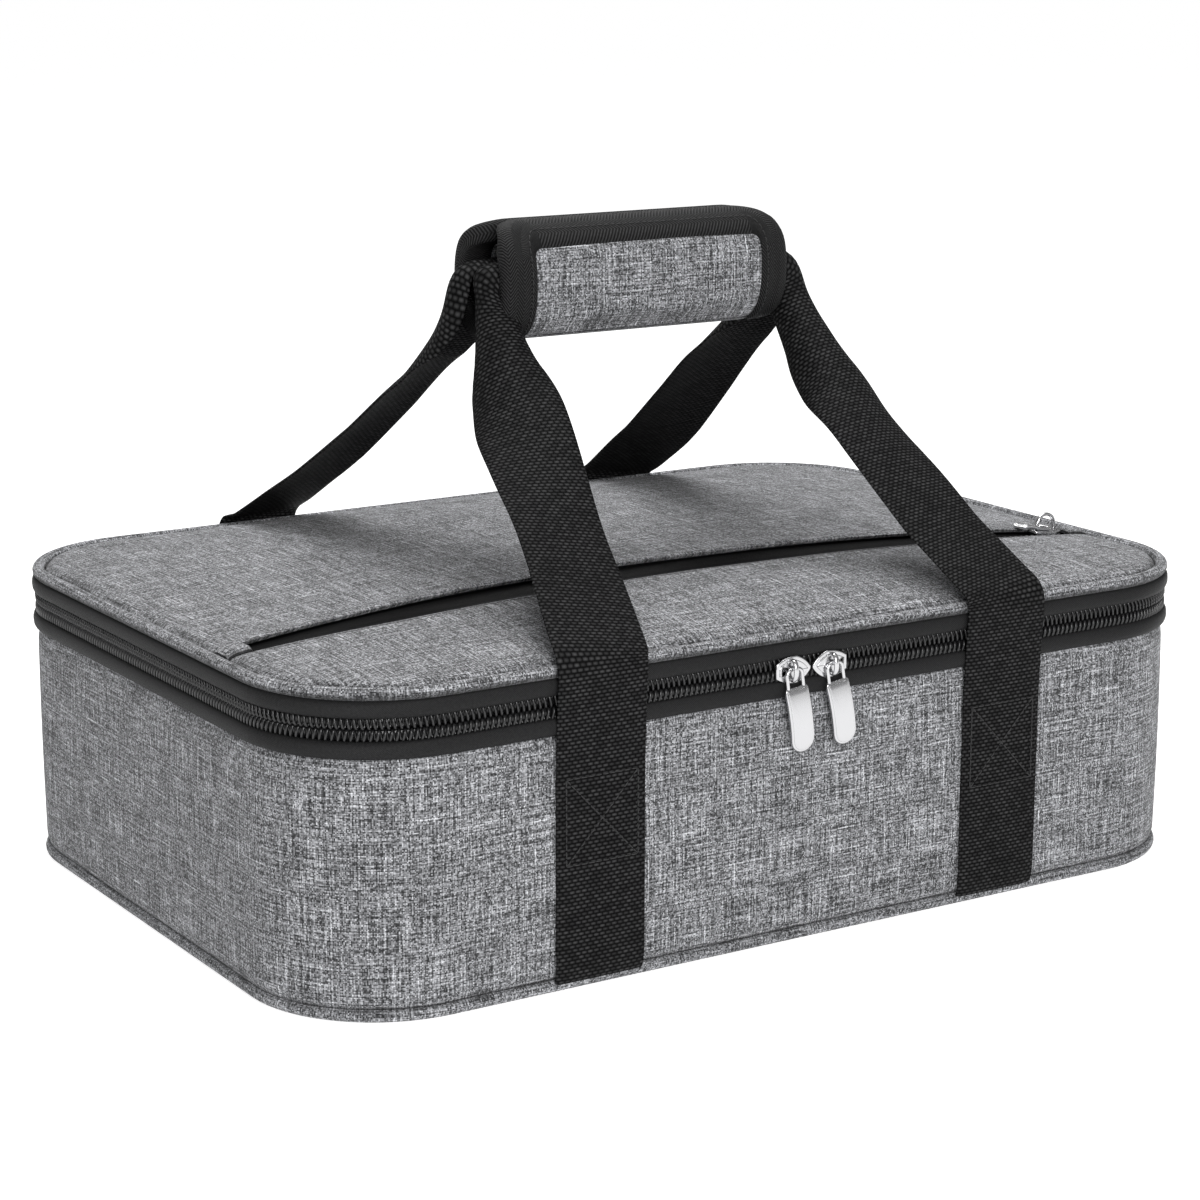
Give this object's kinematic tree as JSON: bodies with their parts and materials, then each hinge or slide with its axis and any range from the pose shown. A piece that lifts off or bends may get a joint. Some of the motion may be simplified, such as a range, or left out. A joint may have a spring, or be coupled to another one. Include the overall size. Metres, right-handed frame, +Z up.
{
  "type": "casserole carrier",
  "caption": "Soft-sided insulated carrier box with rounded corners, a zipped lid hinged at the back, a lid pocket and webbing handles joined by a padded wrap grip.",
  "frame": {"origin": "centre of the bottom face that the carrier stands on", "axes": "+X along the length to the right, +Y to the hinge at the back, +Z up"},
  "size_m": [0.423, 0.3047, 0.269],
  "materials": {
    "grey_linen": "linen-look polyester, matte",
    "black_webbing": "ribbed webbing",
    "black_tape": "twill tape",
    "black_coil": "nylon coil",
    "chrome": "polished",
    "foil_lining": "silvered film",
    "white_foam": "foam",
    "grey_board": "board"
  },
  "bodies": {
    "base": {"outer_wall": "grey_linen", "bottom_panel": "grey_linen", "bottom_piping": "grey_linen", "bottom_board": "grey_board", "bottom_foam": "white_foam", "wall_foam": "white_foam", "lining_tub": "foil_lining", "base_rim_binding": "black_tape", "lower_zip_tape": "black_tape", "lower_zip_coil": "black_coil", "zip_stop_left": "chrome", "zip_stop_right": "chrome", "hinge_gusset": "black_tape", "front_left_strap_anchor": "black_webbing", "front_right_strap_anchor": "black_webbing", "back_left_strap_anchor": "black_webbing", "back_right_strap_anchor": "black_webbing"},
    "lid": {"lid_piping": "grey_linen", "lid_front_panel": "grey_linen", "lid_back_panel": "grey_linen", "pocket_end_tab_left": "grey_linen", "pocket_end_tab_right": "grey_linen", "pocket_lining": "black_tape", "lid_foam": "white_foam", "lid_lining": "foil_lining", "lid_rim_binding": "black_tape", "pocket_front_tape": "black_tape", "pocket_back_tape": "black_tape", "upper_zip_tape": "black_tape", "upper_zip_coil": "black_coil"},
    "left_slider": {"left_slider": "chrome"},
    "right_slider": {"right_slider": "chrome"},
    "left_pull": {"left_pull": "chrome"},
    "right_pull": {"right_pull": "chrome"},
    "pocket_slider": {"pocket_slider": "chrome"},
    "pocket_pull": {"pocket_pull": "chrome"},
    "front_handle": {"front_handle_webbing": "black_webbing"},
    "back_handle": {"back_handle_webbing": "black_webbing", "grip_shell": "grey_linen", "grip_shell_binding": "black_tape", "loop_strip": "black_tape"},
    "grip_flap": {"grip_flap": "grey_linen", "grip_flap_binding": "black_tape", "hook_strip": "black_tape"}
  },
  "joints": [
    {"name": "lid_open", "type": "hinge", "parent": "base", "child": "lid", "pos_m": [0, 0.1483, 0.1094], "axis": [-1, 0, 0], "range_deg": [0, 105], "deforming": ["hinge_gusset"]},
    {"name": "front_handle_fold", "type": "hinge", "parent": "base", "child": "front_handle", "pos_m": [0, -0.1481, 0.086], "axis": [1, 0, 0], "range_deg": [0, 145], "deforming": ["front_handle_webbing"]},
    {"name": "back_handle_fold", "type": "hinge", "parent": "base", "child": "back_handle", "pos_m": [0, 0.1481, 0.086], "axis": [-1, 0, 0], "range_deg": [0, 145], "deforming": ["back_handle_webbing"]},
    {"name": "grip_flap_open", "type": "hinge", "parent": "back_handle", "child": "grip_flap", "pos_m": [0, -0.02409, 0.22377], "axis": [1, 0, 0], "range_deg": [0, 115]},
    {"name": "left_slider_slide", "type": "slide", "parent": "base", "child": "left_slider", "axis": [-1, 0, 0], "range_m": [0, 0.136]},
    {"name": "right_slider_slide", "type": "slide", "parent": "base", "child": "right_slider", "axis": [1, 0, 0], "range_m": [0, 0.136]},
    {"name": "left_pull_flip", "type": "hinge", "parent": "left_slider", "child": "left_pull", "pos_m": [-0.0094, -0.1507, 0.1102], "axis": [-0.9903, 0, -0.1392], "range_deg": [0, 150]},
    {"name": "right_pull_flip", "type": "hinge", "parent": "right_slider", "child": "right_pull", "pos_m": [0.0094, -0.1507, 0.1102], "axis": [-0.9848, 0, -0.1736], "range_deg": [0, 150]},
    {"name": "pocket_slider_run", "type": "hinge", "parent": "lid", "child": "pocket_slider", "pos_m": [0, -0.065, -2.33931], "axis": [0, -1, 0], "range_deg": [0, 8.66]},
    {"name": "pocket_pull_flip", "type": "hinge", "parent": "pocket_slider", "child": "pocket_pull", "pos_m": [0.18663, -0.065, 0.12777], "axis": [0, 1, 0], "range_deg": [0, 150]}
  ],
  "couplings": [
    {"joint": "front_handle_fold", "follows": "lid_open", "ratio": 1.38},
    {"joint": "back_handle_fold", "follows": "lid_open", "ratio": 1.38},
    {"joint": "grip_flap_open", "follows": "lid_open", "ratio": 1.095}
  ]
}
